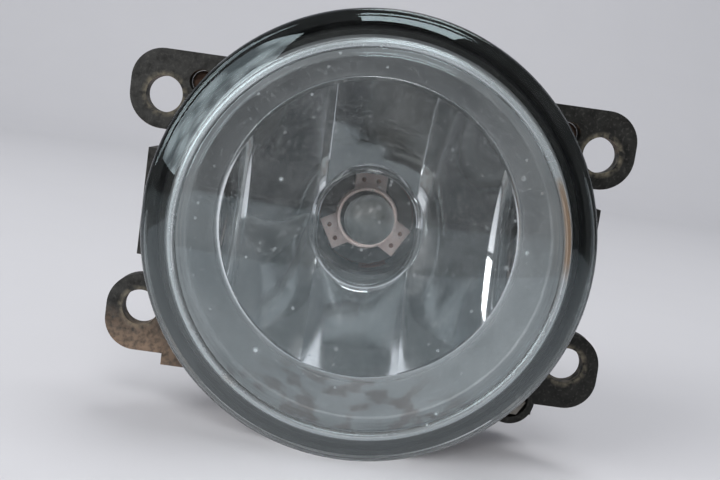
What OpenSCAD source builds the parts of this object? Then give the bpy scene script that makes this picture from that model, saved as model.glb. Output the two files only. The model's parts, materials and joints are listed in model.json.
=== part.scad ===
// Round fog light: a sealed lamp unit that tilts in a mounting frame with four ears.
// Every piece is drawn along the lamp's own axis, with x to the right, y up and z out of
// the lens, and is then turned so that the lens faces -Y and +Z is up.
// The origin is the centre of the four ear holes, on the front face of the ears.

/* [Lens] */
// Outer diameter of the lens
lens_d = 95; // [92:1:97]
// Width of the sloping rim outside the raised bead
rim_w = 7.5; // [6.5:0.25:8.5]
// Fall of the sloping rim from the bead to the edge
rim_fall = 3; // [2:0.25:4]
// Drop from the foot of the bead to the rim
rim_step = 1.2; // [0.6:0.1:2]
// Height of the dome inside the bead
dome_rise = 4.5; // [3:0.25:7]
// Radius of the raised bead
bead_r = 0.9; // [0.6:0.1:1.2]
// Wall of the lens
lens_wall = 3; // [2.4:0.1:3.4]
// Rounding of the outer edge
edge_round = 2; // [1.4:0.1:2.4]
// Straight band of the outer edge
edge_band = 2.8; // [2:0.2:5]
// How far the edge stands out past the housing
lens_overhang = 1.4; // [0.8:0.1:1.8]
// Thickness of the tongue behind the rim
tongue_t = 1.8; // [1.4:0.1:2.2]
// Length of the tongue behind the rim
tongue_l = 4.5; // [3:0.25:6]
// Thickness of the sealing compound under the tongue
seal_t = 1.5; // [1:0.1:2.5]

/* [Optics] */
// Width of the trim ring, from the housing's wall in to its opening
trim_w = 6; // [4.5:0.1:8]
// Height of the trim ring, from the reflector to its lip
trim_h = 13.6; // [11:0.2:16]
// Wall of the trim ring
trim_t = 1.2; // [0.8:0.1:1.6]
// Step from the trim ring's opening in to the reflector's mouth
mouth_step = 1.2; // [0.8:0.1:2]
// Focal length of the reflector
focal = 11.5; // [10.5:0.25:13]
// Wall of the reflector
reflector_wall = 2; // [1.6:0.1:2.4]
// Thickness of the reflector's flange
reflector_flange_t = 1.5; // [1.2:0.1:2.5]
// Width of the reflector's middle strip
middle_strip_w = 22; // [18:1:26]
// Width of each strip beside it
side_strip_w = 17; // [14:1:18]
// How far the side strips are set back
strip_step = 0.8; // [0.4:0.1:1]
// Diameter of the reflector's bulb opening
bulb_opening_d = 25.8; // [25:0.2:27]
// How far the bulb opening is drawn out downwards
bulb_opening_drop = 3.2; // [1:0.2:4]

/* [Housing] */
// Wall of the housing
housing_wall = 2.5; // [2:0.1:3]
// Outer wall of the sealing groove
groove_wall = 1.2; // [0.9:0.1:1.6]
// Inner wall of the sealing groove
groove_inner_wall = 1.7; // [1.2:0.1:2.2]
// Floor of the sealing groove
groove_floor = 2; // [1.5:0.1:3]
// Width of the flat on the bowl's back, round the neck
neck_flat = 1.5; // [1:0.1:2.5]
// Width of the ledge that carries the reflector
ledge_w = 2.2; // [1.6:0.1:3]
// Thickness of the stiffening ribs
rib_t = 1.6; // [1:0.1:2.4]
// Height of the stiffening ribs
rib_h = 2.4; // [1.5:0.1:3]

/* [Vent] */
// Distance of the vent in from the bowl's edge
vent_inset = 14.9; // [13:0.1:17]
// Diameter of the vent pipe
vent_pipe_d = 7; // [6:0.25:8]
// Bore of the vent pipe
vent_bore_d = 3; // [2:0.25:4]
// Length of the vent pipe behind the bowl
vent_pipe_l = 9.5; // [8:0.5:12]
// Wall of the vent cap
vent_cap_wall = 2.4; // [1.6:0.1:3]
// Thickness of the vent membrane
membrane_t = 0.3; // [0.2:0.05:0.5]

/* [Mounting frame] */
// Distance between the ear holes across the lamp
ear_spacing_x = 97; // [96:0.5:104]
// Distance between the ear holes up the lamp
ear_spacing_z = 48; // [44:0.5:52]
// Diameter of the ear holes
ear_hole_d = 8; // [6:0.25:9]
// Wall round the ear holes
ear_wall = 3.6; // [3:0.1:4.5]
// Height of an ear from its hole to its straight edge
ear_rise = 9.9; // [9:0.1:11]
// Rounding of an ear's outer corner
ear_corner_r = 7; // [5:0.25:7.5]
// Thickness of the frame plate and its ears
plate_t = 4; // [3:0.25:5]
// Width of the ring round the lamp
ring_w = 3.6; // [3:0.1:4.2]
// Width of the ring where its top and bottom are cut flat
ring_flat_w = 2.3; // [1.8:0.1:2.8]
// Diameter of the locating holes in the upper ears
locating_hole_d = 5.2; // [4:0.2:5.6]
// Depth of the stiffening webs behind the ears
web_h = 5; // [3:0.25:7]
// Thickness of the stiffening webs behind the ears
web_t = 2; // [1.2:0.1:2.6]
// How far the corner pads reach below the lower ears
pad_drop = 2.6; // [1:0.2:4]

/* [Tilt] */
// Tilt of the lamp each way, in degrees
tilt_limit = 4; // [2:0.5:5]
// Diameter of the pivot pins
pin_d = 4; // [3:0.25:5]
// Wall of the pivot bushes
bush_wall = 1.2; // [0.8:0.1:1.6]
// Length of the pivot bushes
bush_l = 4; // [3:0.25:4.5]
// Wall of the pivot bosses
boss_wall = 1.8; // [1.4:0.1:2.4]
// Reach of the pivot bosses past the bowl
boss_reach = 4.8; // [4.6:0.1:6]
// Thickness of the pivot cheeks
cheek_t = 2; // [1.8:0.1:3]
// Height of the pivot cheeks
cheek_h = 24; // [18:0.5:26]

/* [Adjuster] */
// Direction of the adjuster, in degrees below the horizontal
adjuster_angle = 42; // [40:0.5:44]
// Diameter of the adjuster screw
screw_d = 5; // [4:0.25:5.5]
// Depth of the adjuster boss behind the frame's plate
adjuster_boss_l = 6; // [5:0.25:8]
// Wall of the adjuster boss
adjuster_boss_wall = 3; // [2:0.1:3.5]
// Thickness of the adjuster nut
nut_t = 5; // [4:0.25:7]
// Wall of the adjuster nut
nut_wall = 1.6; // [1.2:0.1:2]
// Wall of the housing round the nut
nut_boss_wall = 2; // [1.5:0.1:3]
// Height of the screw's head
screw_head_h = 4; // [3:0.25:5]
// Width of the screw's head across its corners
screw_head_d = 7; // [6.5:0.1:7.5]
// Thickness of the retaining clip
clip_t = 0.8; // [0.6:0.1:1.2]
// Thickness of the friction washer
washer_t = 0.6; // [0.4:0.1:1]

/* [Bulb] */
// Lean of the bulb and its neck, front end up, in degrees
bulb_lean = 5; // [0:0.5:6]
// Distance from the bulb's seat to its filament
light_centre = 25; // [24:0.25:26]
// Diameter of the glass capsule
capsule_d = 11.5; // [10:0.25:12.5]
// Wall of the glass capsule
glass_wall = 1; // [0.7:0.1:1.3]
// Distance from the filament to the capsule's tip
tip_reach = 11; // [9:0.5:12]
// Height of the metal collar
collar_h = 6.5; // [5:0.25:8]
// Diameter of the metal collar
collar_d = 15.2; // [14.6:0.2:16]
// Thickness of the collar's sheet
collar_t = 0.8; // [0.5:0.1:1]
// Width of the collar's tabs
tab_w = 8.4; // [6:0.2:10]
// Diameter of the base where it enters the neck
base_d = 24; // [23:0.25:25]
// Height of the bayonet lugs
lug_h = 2; // [1.4:0.1:2.4]
// Thickness of the bayonet lugs
lug_t = 2; // [1.5:0.1:3]
// Width of the bayonet lugs, in degrees
lug_angle = 26; // [18:1:30]
// Thickness of the bayonet ring in the neck
bayonet_t = 2.2; // [1.6:0.1:3]
// Turn that frees the bulb, in degrees
twist = 45; // [40:1:50]
// Thickness of the rubber ring
o_ring_t = 1.7; // [1.2:0.1:2.2]
// Thickness of the base's flange
base_flange_t = 2; // [1.5:0.1:3]
// Width of the connector's socket
socket_w = 14; // [12:0.5:16]
// Thickness of the connector's socket
socket_t = 7.4; // [6.4:0.2:9]
// Depth of the connector's socket
socket_l = 14; // [11:0.5:17]
// Wall of the connector
socket_wall = 2; // [1.4:0.1:2.6]
// Distance between the terminal blades
blade_spacing = 8.4; // [7.6:0.2:9]
// Width of a terminal blade
blade_w = 2.8; // [2:0.2:3]
// Thickness of a terminal blade
blade_t = 0.8; // [0.6:0.05:1]
// Diameter of the lead wires
lead_d = 0.9; // [0.6:0.05:1.2]
// Diameter of the filament coil
filament_d = 1.5; // [1:0.1:2]
// Length of the filament coil
filament_l = 5; // [4:0.25:6]

/* [Clearances] */
// Room for sealing compound each side of the tongue
groove_gap = 0.5; // [0.3:0.05:0.7]
// Gap between pieces that are stacked in the housing
stack_gap = 0.3; // [0.2:0.05:0.5]
// Gap between the bowl and the frame's ring
swing_gap = 2.1; // [1.6:0.1:3]
// Gap between the housing's rim and the frame at full tilt
rim_gap = 1.3; // [0.8:0.1:2]
// Running clearance of the pins and of the screw
running_gap = 0.05; // [0.02:0.01:0.08]
// Gap beside faces that turn against each other
turning_gap = 0.3; // [0.2:0.05:0.5]
// Room round the bulb's base and lugs in the neck
bayonet_gap = 0.5; // [0.35:0.05:0.7]
// Gap between the screw and its nut at full tilt
nut_gap = 0.3; // [0.2:0.05:0.5]

/* [Hidden] */
$fn = 96;

// A small overlap, so that cuts pass right through a face
cut = 0.5;

// Radii of the lens, its groove and the bowl, from the outside in
lens_r = lens_d / 2;
bead_at = lens_r - rim_w;
housing_rim_r = lens_r - lens_overhang;
groove_out_r = housing_rim_r - groove_wall;
tongue_out_r = groove_out_r - groove_gap;
tongue_in_r = tongue_out_r - tongue_t;
groove_in_r = tongue_in_r - groove_gap;
bowl_in_r = groove_in_r - groove_inner_wall;
bowl_out_r = bowl_in_r + housing_wall;

// Heights along the axis, from the frame's front face out to the lens
flange_z = housing_rim_r * sin(tilt_limit) + rim_gap;
groove_z = flange_z + groove_floor;
tongue_z = groove_z + seal_t;
lens_back_z = tongue_z + tongue_l;
edge_z = lens_back_z + edge_band;
rim_z = edge_z + edge_round;
step_z = rim_z + rim_fall;
bead_z = step_z + rim_step;
dome_r = (bead_at * bead_at + dome_rise * dome_rise) / (2 * dome_rise);
dome_z = bead_z + dome_rise - dome_r;
wall_top_z = lens_back_z - stack_gap;

// Optics, from the groove's inner wall back to the filament and the bulb's seat
trim_r = bowl_in_r - trim_w;
mouth_r = trim_r - mouth_step;
mouth_z = wall_top_z - trim_h;
ledge_z = mouth_z - reflector_flange_t;
vertex_z = mouth_z - mouth_r * mouth_r / (4 * focal);
filament_z = vertex_z + focal;
seat_z = filament_z - light_centre;
bulb_opening_r = bulb_opening_d / 2;

// Bulb, from its seat back to its connector
lug_setback = 0.8;
flange_margin = 2.8;
lead_inset = 1;
pinch_inset = 1;
pinch_wall = 1.3;
blade_tip = 3;
lug_start = 90;
base_r = base_d / 2;
lug_r = base_r + lug_h;
base_front_z = seat_z - collar_t;
lug_front_z = base_front_z - lug_setback;
lug_back_z = lug_front_z - lug_t;
bayonet_front_z = lug_back_z - turning_gap;
neck_back_z = bayonet_front_z - bayonet_t;
base_flange_z = neck_back_z - turning_gap - o_ring_t;
base_flange_r = base_r + o_ring_t + flange_margin;
connector_z = base_flange_z - base_flange_t;
connector_t = socket_t + 2 * socket_wall;
connector_w = socket_w + 2 * socket_wall;
connector_bottom = -(base_flange_r + socket_l);
socket_z = connector_z - connector_t / 2;
blade_x = blade_spacing / 2;
lead_x = min(blade_x - lead_inset, capsule_d / 2 - glass_wall - lead_d);
pinch_w = capsule_d - 2 * pinch_inset;
pinch_t = lead_d + 2 * pinch_wall;

// Housing bowl and neck
ledge_drop = 1;
neck_room = 1.5;
tube_room = 1;
bowl_z = ledge_z - ledge_drop - ledge_w;
neck_in_r = lug_r + bayonet_gap;
neck_r = neck_in_r + housing_wall;
flat_r = neck_r + neck_flat;
neck_z = seat_z + collar_h + neck_room;
tube_end_z = neck_z + housing_wall + tube_room;

// Pivots, from the bowl out to the cheeks
boss_room = 1;
bush_flange_t = 0.6;
pin_head_t = 1.2;
pin_head_w = 1.4;
pin_tip_l = 0.6;
bush_r = pin_d / 2 + running_gap + bush_wall;
boss_r = bush_r + boss_wall;
pivot_z = -(plate_t + boss_room + boss_r);
boss_x = bowl_out_r + boss_reach;
cheek_x = boss_x + bush_flange_t + turning_gap;
pin_tip_x = boss_x - bush_l - pin_tip_l;

// Mounting frame
ring_in_r = bowl_out_r + swing_gap;
ring_out_r = ring_in_r + ring_w;
ring_flat_y = ring_in_r + ring_flat_w;
ear_x = ear_spacing_x / 2;
ear_y = ear_spacing_z / 2;
ear_r = ear_hole_d / 2 + ear_wall;
locating_wall = 1.7;
locating_angle = 34.2;
locating_r = ring_in_r + locating_wall + locating_hole_d / 2;
pad_inset = 6;
pad_x = ear_x - pad_inset;

// Adjuster, from the screw's sunk head back to its tail
adjuster_margin = 1.7;
head_room = 0.5;
groove_depth = 0.7;
nut_room = 1.5;
tail_l = 2;
screw_r = screw_d / 2;
adjuster_boss_r = screw_r + running_gap + adjuster_boss_wall;
adjuster_boss_z = -(plate_t + adjuster_boss_l);
head_recess_r = screw_head_d / 2 + head_room;
adjuster_r = ring_out_r + adjuster_margin;
adjuster_x = adjuster_r * cos(adjuster_angle);
adjuster_y = -adjuster_r * sin(adjuster_angle);
adjuster_swing = -adjuster_y * sin(tilt_limit);
washer_z = turning_gap - plate_t;
head_z = washer_z + washer_t;
clip_z = adjuster_boss_z - turning_gap - clip_t;
groove_r = screw_r - groove_depth;
nut_front_z = clip_z - adjuster_swing - nut_room;
nut_back_z = nut_front_z - nut_t;
nut_shift = (pivot_z - nut_back_z) * sin(tilt_limit) - adjuster_y * (1 - cos(tilt_limit));
nut_in_r = screw_r + nut_shift + nut_gap;
nut_out_r = nut_in_r + nut_wall;
tail_z = nut_back_z - adjuster_swing - tail_l;

// Vent, from the bowl back to the cap
vent_cap_room = 1;
vent_offset = bowl_out_r - vent_inset;
vent_pipe_r = vent_pipe_d / 2;
vent_cap_r = vent_pipe_r + vent_cap_wall;
vent_cap_front_z = bowl_surface(vent_offset - vent_cap_r) - vent_cap_room;
vent_end_z = bowl_surface(vent_offset) - vent_pipe_l;

// Points on an oval arc about the point c, between two angles
function oval(c, rx, ry, from, to, steps = 12) = [
    for (i = [0:steps])
        let (a = from + (to - from) * i / steps)
            [c[0] + rx * cos(a), c[1] + ry * sin(a)]
];

// Points on a round arc
function arc(c, r, from, to, steps = 12) = oval(c, r, r, from, to, steps);

// Height of the bowl's outer surface at a distance from the axis
function bowl_surface(r) =
    let (share = (r - flat_r) / (bowl_out_r - flat_r))
        bowl_z - (bowl_z - neck_z) * sqrt(max(0, 1 - share * share));

// Height of the reflector's mirror at a distance from the axis
function mirror_z(r) = vertex_z + r * r / (4 * focal);

// The point behind the mirror, one wall away along its normal
function mirror_back(r) =
    let (slope = r / (2 * focal), n = sqrt(1 + slope * slope))
        [r + reflector_wall * slope / n, mirror_z(r) - reflector_wall / n];

// Turns the lamp's own frame into the part's frame
module facing_front() {
    rotate([90, 0, 0]) children();
}

// Leans the bulb or its neck about the place where the neck meets the bowl
module along_bulb() {
    translate([0, 0, neck_z]) rotate([-bulb_lean, 0, 0]) translate([0, 0, -neck_z]) children();
}

// A ring or disc round the lamp's axis
module ring(r_out, r_in, z_from, z_to) {
    translate([0, 0, z_from])
        difference() {
            cylinder(r = r_out, h = z_to - z_from);
            translate([0, 0, -cut]) cylinder(r = r_in, h = z_to - z_from + 2 * cut);
        }
}

// A round bar along the lamp's axis
module bar(r, z_from, z_to) {
    translate([0, 0, z_from]) cylinder(r = r, h = z_to - z_from);
}

// A round bar across the lamp, from one distance to another
module cross_bar(r, x_from, x_to) {
    translate([x_from, 0, 0]) rotate([0, 90, 0]) cylinder(r = r, h = x_to - x_from);
}

// Both sides of something that is drawn on the right
module both_sides() {
    children();
    mirror([1, 0, 0]) children();
}

// Clear lens with a shallow dome, a raised bead, a sloping rim and a tongue for the groove
module lens() {
    rim_start = bead_at + bead_r;
    rim_end = lens_r - edge_round;
    rim_slope = rim_fall / (rim_end - rim_start);
    tongue_top = step_z - rim_slope * (tongue_in_r - rim_start) - lens_wall;
    inner_r = dome_r - lens_wall;
    bead_start = 165;
    dome_end = 90 - asin((bead_at - bead_r) / dome_r);
    inner_end = 90 - asin((bead_at - lens_wall / 2) / inner_r);
    edge_break = 0.4;
    color([0.85, 0.88, 0.88, 0.4])
        facing_front() rotate_extrude() polygon(concat(
            arc([0, dome_z], dome_r, 90, dome_end, 10),
            arc([bead_at, bead_z], bead_r, bead_start, 0, 8),
            [[rim_start, step_z]],
            arc([rim_end, edge_z], edge_round, 90, 0, 6),
            [
                [lens_r, lens_back_z + edge_break],
                [lens_r - edge_break, lens_back_z],
                [tongue_out_r, lens_back_z],
                [tongue_out_r, tongue_z],
                [tongue_in_r, tongue_z],
                [tongue_in_r, tongue_top]
            ],
            arc([0, dome_z], inner_r, inner_end, 90, 10)
        ));
}

// Sealing compound on the floor of the groove
module lens_seal() {
    color("black")
        facing_front() ring(groove_out_r, groove_in_r, groove_z, tongue_z);
}

// Metallised funnel between the lens and the reflector's mouth
module trim_ring() {
    lip_out = groove_in_r - stack_gap;
    lip_in = bowl_in_r - trim_t - stack_gap;
    color("gray")
        facing_front() rotate_extrude() polygon([
            [lip_out, wall_top_z],
            [lip_out, wall_top_z + trim_t],
            [lip_in - trim_t, wall_top_z + trim_t],
            [trim_r, mouth_z + trim_t],
            [trim_r, mouth_z],
            [trim_r + trim_t, mouth_z],
            [lip_in, wall_top_z]
        ]);
}

// Outline of the bulb opening, a circle drawn out downwards
module bulb_opening(grow = 0) {
    r = bulb_opening_r + grow;
    circle(r);
    translate([0, -bulb_opening_drop]) circle(r);
    translate([-r, -bulb_opening_drop]) square([2 * r, bulb_opening_drop]);
}

// Shell of the mirror's bowl, moved along the axis
module mirror_shell(shift) {
    steps = 9;
    translate([0, 0, shift]) rotate_extrude() polygon(concat(
        [for (i = [0:steps]) [mouth_r * i / steps, mirror_z(mouth_r * i / steps)]],
        [for (i = [steps:-1:1]) mirror_back(mouth_r * i / steps)],
        [[0, vertex_z - reflector_wall]]
    ));
}

// One upright strip of the mirror, between two distances from the middle
module mirror_strip(x_from, x_to, shift) {
    intersection() {
        mirror_shell(shift);
        translate([x_from, -lens_r, seat_z]) cube([x_to - x_from, lens_d, lens_d]);
    }
}

// Reflector of five upright strips, with a flange, a bulb opening and a short tube behind it
module reflector() {
    middle = middle_strip_w / 2;
    side = middle + side_strip_w;
    tube_front_z = mirror_z(bulb_opening_r);
    color("silver") facing_front() difference() {
        union() {
            mirror_strip(-middle, middle, 0);
            both_sides() mirror_strip(middle, side, -strip_step);
            both_sides() mirror_strip(side, mouth_r, 0);
            ring(bowl_in_r - stack_gap, mouth_r, ledge_z, mouth_z);
            translate([0, 0, tube_end_z])
                linear_extrude(tube_front_z - tube_end_z) bulb_opening(reflector_wall);
        }
        translate([0, 0, tube_end_z - cut]) linear_extrude(lens_d) bulb_opening();
    }
}

// Outline of the housing: groove, bowl, back wall and ledge
module housing_profile() {
    flat_in_r = flat_r - housing_wall;
    polygon(concat(
        [
            [groove_out_r, groove_z],
            [groove_out_r, wall_top_z],
            [housing_rim_r, wall_top_z],
            [housing_rim_r, flange_z],
            [bowl_out_r, flange_z]
        ],
        oval([flat_r, bowl_z], bowl_out_r - flat_r, bowl_z - neck_z, 0, -90),
        [[base_r, neck_z], [base_r, neck_z + housing_wall]],
        oval([flat_in_r, bowl_z], bowl_in_r - flat_in_r, bowl_z - neck_z - housing_wall, -90, 0),
        [
            [bowl_in_r - ledge_w, ledge_z - ledge_drop],
            [bowl_in_r - ledge_w, ledge_z],
            [bowl_in_r, ledge_z],
            [bowl_in_r, wall_top_z],
            [groove_in_r, wall_top_z],
            [groove_in_r, groove_z]
        ]
    ));
}

// One stiffening rib that stands on the bowl
module bowl_rib() {
    half_wall = housing_wall / 2;
    start = -12;
    rotate([90, 0, 0]) translate([0, 0, -rib_t / 2]) linear_extrude(rib_t) polygon(concat(
        oval([flat_r, bowl_z], bowl_out_r - flat_r + rib_h, bowl_z - neck_z + rib_h, start, -90),
        [[neck_r - half_wall, neck_z - rib_h], [neck_r - half_wall, neck_z + half_wall]],
        oval([flat_r, bowl_z], bowl_out_r - flat_r - half_wall, bowl_z - neck_z - half_wall, -90, start)
    ));
}

// Arm and boss on the housing that hold the adjuster nut
module nut_arm() {
    boss = nut_out_r + nut_boss_wall;
    arm_start = bowl_in_r * cos(adjuster_angle);
    rotate([0, 0, -adjuster_angle]) {
        translate([arm_start, -boss, nut_back_z]) cube([adjuster_r - arm_start, 2 * boss, nut_t]);
        translate([adjuster_r, 0, 0]) bar(boss, nut_back_z, nut_front_z);
    }
}

// A place beside each notch or lug of the bayonet
module three_times(first) {
    for (a = [first, first + 120, first + 240]) rotate([0, 0, a]) children();
}

// A block that sweeps an angle round the axis
module sector(r_in, r_out, z_from, z_to, angle) {
    rotate([0, 0, -angle / 2]) rotate_extrude(angle = angle)
        translate([r_in, z_from]) square([r_out - r_in, z_to - z_from]);
}

// Space within the middle of the bowl's wall, for trimming what is added to its outside
module bowl_core() {
    half_wall = housing_wall / 2;
    rotate_extrude() polygon(concat(
        [[0, flange_z], [bowl_in_r + half_wall, flange_z]],
        oval([flat_r, bowl_z], bowl_in_r + half_wall - flat_r, bowl_z - neck_z - half_wall, 0, -90),
        [[0, neck_z + half_wall]]
    ));
}

// Black housing with its groove, bowl, pivot bosses, nut arm, vent pipe and bulb neck
module housing() {
    rib_angles = [30, 60, 120, 150, 210, 240, 270, 300];
    notch_room = 6;
    lean_room = neck_in_r * sin(bulb_lean) + cut;
    color([0.12, 0.12, 0.12]) facing_front() difference() {
        union() {
            rotate_extrude() housing_profile();
            along_bulb() bar(neck_r, neck_back_z, neck_z + housing_wall / 2);
            for (a = rib_angles) rotate([0, 0, a]) bowl_rib();
            difference() {
                union() {
                    both_sides() translate([0, 0, pivot_z]) cross_bar(boss_r, neck_r, boss_x);
                    translate([0, vent_offset, 0]) bar(vent_pipe_r, vent_end_z, bowl_z);
                    nut_arm();
                }
                bowl_core();
            }
        }
        both_sides() translate([0, 0, pivot_z]) {
            cross_bar(bush_r, boss_x - bush_l, boss_x + cut);
            cross_bar(pin_d / 2 + turning_gap, pin_tip_x - turning_gap, boss_x);
        }
        translate([0, vent_offset, 0]) bar(vent_bore_d / 2, vent_end_z - cut, bowl_z + cut);
        translate([adjuster_x, adjuster_y, 0]) bar(nut_out_r, nut_back_z - cut, nut_front_z + cut);
        along_bulb() {
            bar(neck_in_r, bayonet_front_z, neck_z + housing_wall + lean_room);
            bar(base_r + bayonet_gap, neck_back_z - cut, bayonet_front_z + cut);
            three_times(lug_start - twist)
                sector(base_r - cut, lug_r + bayonet_gap / 2, neck_back_z - cut, bayonet_front_z + cut,
                    lug_angle + notch_room);
        }
    }
}

// Thin breathable disc over the end of the vent pipe
module vent_membrane() {
    color("white")
        facing_front() translate([0, vent_offset, 0]) bar(vent_pipe_r, vent_end_z - membrane_t, vent_end_z);
}

// Rubber cap over the vent pipe, notched round its mouth so that air can pass
module vent_cap() {
    end_z = vent_end_z - membrane_t;
    notch_w = 1.6;
    color([0.15, 0.15, 0.15]) facing_front() translate([0, vent_offset, 0]) difference() {
        bar(vent_cap_r, end_z - vent_cap_wall, vent_cap_front_z);
        bar(vent_pipe_r, end_z, vent_cap_front_z + cut);
        for (a = [0, 90])
            rotate([0, 0, a])
                translate([-vent_cap_r - cut, -notch_w / 2, vent_cap_front_z - notch_w])
                    cube([2 * (vent_cap_r + cut), notch_w, notch_w + cut]);
    }
}

// Nut pressed into the housing's arm
module adjuster_nut() {
    color("ivory")
        facing_front() translate([adjuster_x, adjuster_y, 0])
            ring(nut_out_r, nut_in_r, nut_back_z, nut_front_z);
}

// Flanged bushes pressed into the pivot bosses
module pivot_bushes() {
    bore = pin_d / 2 + running_gap;
    color("ivory") facing_front() both_sides() translate([0, 0, pivot_z]) difference() {
        union() {
            cross_bar(bush_r, boss_x - bush_l, boss_x);
            cross_bar(bush_r + boss_wall / 2, boss_x, boss_x + bush_flange_t);
        }
        cross_bar(bore, boss_x - bush_l - cut, boss_x + bush_flange_t + cut);
    }
}

// Outline of one ear on the upper right
module ear_outline() {
    top = ear_y + ear_rise;
    outer = ear_x + ear_r;
    inner = bowl_in_r * cos(45);
    translate([ear_x, ear_y]) circle(ear_r);
    translate([outer - ear_corner_r, top - ear_corner_r]) circle(ear_corner_r);
    translate([inner, ear_y - ear_r]) square([ear_x - inner, ear_rise + ear_r]);
    translate([ear_x - cut, ear_y]) square([ear_r + cut, ear_rise - ear_corner_r]);
    translate([ear_x - cut, ear_y]) square([ear_r - ear_corner_r + cut, ear_rise]);
}

// Outline of the frame's plate before it is opened for the lamp
module plate_outline() {
    intersection() {
        circle(ring_out_r);
        square([lens_d * 2, ring_flat_y * 2], center = true);
    }
    both_sides() {
        ear_outline();
        mirror([0, 1]) ear_outline();
        translate([0, -cheek_h / 2]) square([cheek_x + cheek_t, cheek_h]);
        translate([0, -(ear_y + ear_rise + pad_drop)]) square([pad_x, ear_rise + pad_drop]);
    }
    translate([adjuster_x, adjuster_y]) circle(adjuster_boss_r);
}

// Webs behind the straight edges of the ears
module ear_webs() {
    web_x = ring_in_r * cos(locating_angle);
    both_sides() for (side = [0, 1]) mirror([0, side, 0])
        translate([web_x, ear_y + ear_rise - web_t, -(plate_t + web_h)])
            cube([ear_x - web_x, web_t, web_h + cut]);
}

// Mounting frame: a ring with four ears, two pivot cheeks and the adjuster's boss
module mounting_frame() {
    cheek_back_z = pivot_z - boss_r - boss_room;
    color([0.2, 0.19, 0.18]) facing_front() difference() {
        union() {
            translate([0, 0, -plate_t]) linear_extrude(plate_t) plate_outline();
            both_sides() translate([cheek_x, -cheek_h / 2, cheek_back_z])
                cube([cheek_t, cheek_h, -cheek_back_z]);
            ear_webs();
            translate([adjuster_x, adjuster_y, 0]) bar(adjuster_boss_r, adjuster_boss_z, 0);
        }
        bar(ring_in_r, pivot_z - lens_d, cut);
        both_sides() {
            for (side = [-1, 1])
                translate([ear_x, side * ear_y, 0]) bar(ear_hole_d / 2, -plate_t - cut, cut);
            rotate([0, 0, locating_angle]) translate([locating_r, 0, 0])
                bar(locating_hole_d / 2, -plate_t - cut, cut);
            translate([0, 0, pivot_z]) cross_bar(pin_d / 2, cheek_x - cut, cheek_x + cheek_t + cut);
        }
        translate([adjuster_x, adjuster_y, 0]) {
            bar(screw_r + running_gap, adjuster_boss_z - cut, cut);
            bar(head_recess_r, -plate_t, cut);
        }
    }
}

// Headed pins pressed into the cheeks
module pivot_pins() {
    outside = cheek_x + cheek_t;
    color("silver") facing_front() both_sides() translate([0, 0, pivot_z]) {
        cross_bar(pin_d / 2, pin_tip_x, outside);
        cross_bar(pin_d / 2 + pin_head_w, outside, outside + pin_head_t);
    }
}

// Adjuster screw with a hexagonal head, a cross recess, a clip groove and a long tail
module adjuster_screw() {
    recess_w = 1.2;
    recess_l = 4.4;
    recess_h = 2.2;
    head_top = head_z + screw_head_h;
    color("gray") facing_front() translate([adjuster_x, adjuster_y, 0]) difference() {
        union() {
            translate([0, 0, head_z]) cylinder(d = screw_head_d, h = screw_head_h, $fn = 6);
            bar(screw_r, clip_z + clip_t, head_z);
            bar(groove_r, clip_z, clip_z + clip_t);
            bar(screw_r, tail_z, clip_z);
        }
        for (a = [0, 90])
            rotate([0, 0, a])
                translate([-recess_l / 2, -recess_w / 2, head_top - recess_h])
                    cube([recess_l, recess_w, recess_h + cut]);
    }
}

// Friction washer under the screw's head
module adjuster_washer() {
    color("silver") facing_front() translate([adjuster_x, adjuster_y, 0])
        ring(screw_head_d / 2, screw_r, washer_z, head_z);
}

// Open retaining clip in the screw's groove
module adjuster_clip() {
    clip_w = 2.3;
    clip_r = groove_r + clip_w;
    mouth_angle = 50;
    mouth = 2 * groove_r * sin(mouth_angle);
    color("silver") facing_front() translate([adjuster_x, adjuster_y, 0]) difference() {
        ring(clip_r, groove_r, clip_z, clip_z + clip_t);
        translate([0, -mouth / 2, clip_z - cut]) cube([clip_r + cut, mouth, clip_t + 2 * cut]);
    }
}

// Two lead wires, one to the back and one to the front of the filament
module lead_wires() {
    ends = [[-1, filament_z - filament_l / 2], [1, filament_z + filament_l / 2]];
    for (end = ends) {
        translate([end[0] * lead_x, 0, 0]) bar(lead_d / 2, base_front_z - lug_t, end[1]);
        translate([0, 0, end[1]])
            cross_bar(lead_d / 2, min(0, end[0] * lead_x), max(0, end[0] * lead_x));
        translate([end[0] * lead_x, 0, end[1]]) sphere(d = lead_d);
    }
}

// Glass capsule with a rounded tip and a flat pinch where the leads enter
module bulb_capsule() {
    r = capsule_d / 2;
    inner = r - glass_wall;
    sunk = 1;
    start_round = 2;
    shoulder = 0.8;
    start_z = seat_z + collar_h - sunk;
    tip_z = filament_z + tip_reach;
    color([0.8, 0.84, 0.85, 0.4]) facing_front() along_bulb() difference() {
        union() {
            rotate_extrude() polygon(concat(
                [[0, start_z]],
                arc([r - start_round, start_z + start_round], start_round, -90, 0, 4),
                oval([0, tip_z - shoulder * r], r, shoulder * r, 0, 90, 8)
            ));
            translate([-pinch_w / 2, -pinch_t / 2, base_front_z])
                cube([pinch_w, pinch_t, start_z + sunk - base_front_z]);
        }
        rotate_extrude() polygon(concat(
            [[0, start_z + start_round], [inner, start_z + start_round]],
            oval([0, tip_z - shoulder * r], inner, shoulder * inner, 0, 90, 8)
        ));
        lead_wires();
    }
}

// Filament coil along the lamp's axis, as the cylinder that its turns fill
module bulb_filament() {
    half = (filament_l - lead_d) / 2;
    color("gold") facing_front() along_bulb() bar(filament_d / 2, filament_z - half, filament_z + half);
}

// Lead wires between the terminals and the filament
module bulb_leads() {
    color("silver") facing_front() along_bulb() lead_wires();
}

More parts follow.
